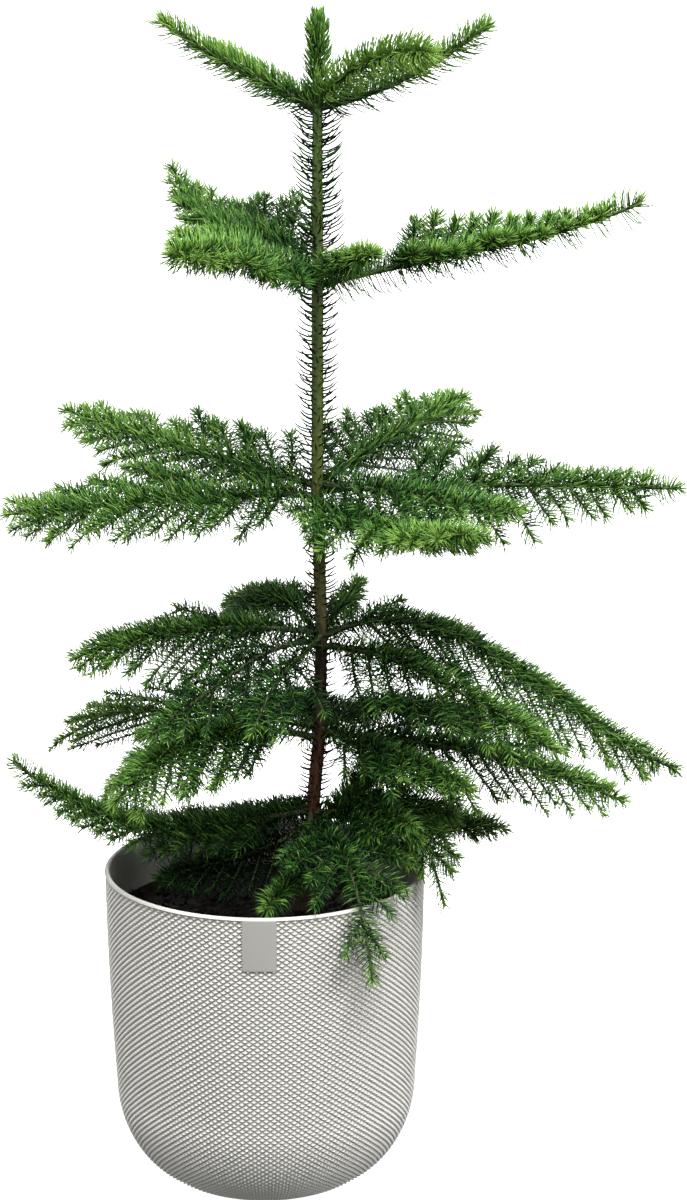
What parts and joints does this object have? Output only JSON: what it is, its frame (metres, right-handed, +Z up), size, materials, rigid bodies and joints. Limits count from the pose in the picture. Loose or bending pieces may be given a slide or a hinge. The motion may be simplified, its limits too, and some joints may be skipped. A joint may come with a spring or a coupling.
{
  "type": "norfolk island pine in a pot",
  "caption": "Young Norfolk Island pine: one straight leader with tiered whorls of needled boughs, in soil in a round knurled plastic pot with a rounded bottom.",
  "frame": {"origin": "centre of the pot's flat underside, on the ground", "axes": "+Z up along the pot's axis, +X to the plant's right seen from the front, +Y to its back"},
  "size_m": [0.3945, 0.2764, 0.6973],
  "materials": {
    "pot_wall": "matte off-white with a fine diamond knurl",
    "potting_soil": "dark moist peat, rough",
    "bark": "rough bark, green above and red-brown below",
    "bough_bark": "rough green-brown bark",
    "needles": "satin evergreen needles"
  },
  "bodies": {
    "root": {"pot": "pot_wall", "soil": "potting_soil", "trunk": "bark", "bough_2_back_left": "bough_bark", "bough_2_front_left": "bough_bark", "bough_2_front_right": "bough_bark", "bough_2_right": "bough_bark", "bough_3_back_left": "bough_bark", "bough_3_back_right": "bough_bark", "bough_3_front": "bough_bark", "bough_3_front_right": "bough_bark", "bough_3_left": "bough_bark", "bough_3_right": "bough_bark", "bough_4_back_left": "bough_bark", "bough_4_back_right": "bough_bark", "bough_4_front": "bough_bark", "bough_4_front_left": "bough_bark", "bough_4_front_right": "bough_bark", "bough_4_left": "bough_bark", "bough_4_right": "bough_bark", "bough_5_back": "bough_bark", "bough_5_back_left": "bough_bark", "bough_5_back_right": "bough_bark", "bough_5_front_right": "bough_bark", "bough_5_left": "bough_bark", "bough_5_right": "bough_bark", "foliage_1_back": "needles", "foliage_1_front_right": "needles", "foliage_1_left": "needles", "foliage_1_right": "needles", "foliage_2_back_left": "needles", "foliage_2_front_left": "needles", "foliage_2_front_right": "needles", "foliage_2_right": "needles", "foliage_3_back_left": "needles", "foliage_3_back_right": "needles", "foliage_3_front": "needles", "foliage_3_front_right": "needles", "foliage_3_left": "needles", "foliage_3_right": "needles", "foliage_4_back_left": "needles", "foliage_4_back_right": "needles", "foliage_4_front": "needles", "foliage_4_front_left": "needles", "foliage_4_front_right": "needles", "foliage_4_left": "needles", "foliage_4_right": "needles", "foliage_5_back": "needles", "foliage_5_back_left": "needles", "foliage_5_back_right": "needles", "foliage_5_front_right": "needles", "foliage_5_left": "needles", "foliage_5_right": "needles", "foliage_6_back_left": "needles", "foliage_6_back_right": "needles", "foliage_6_front": "needles", "foliage_6_front_left": "needles", "foliage_6_left": "needles", "foliage_6_mid_left": "needles", "foliage_6_right": "needles"}
  },
  "joints": []
}
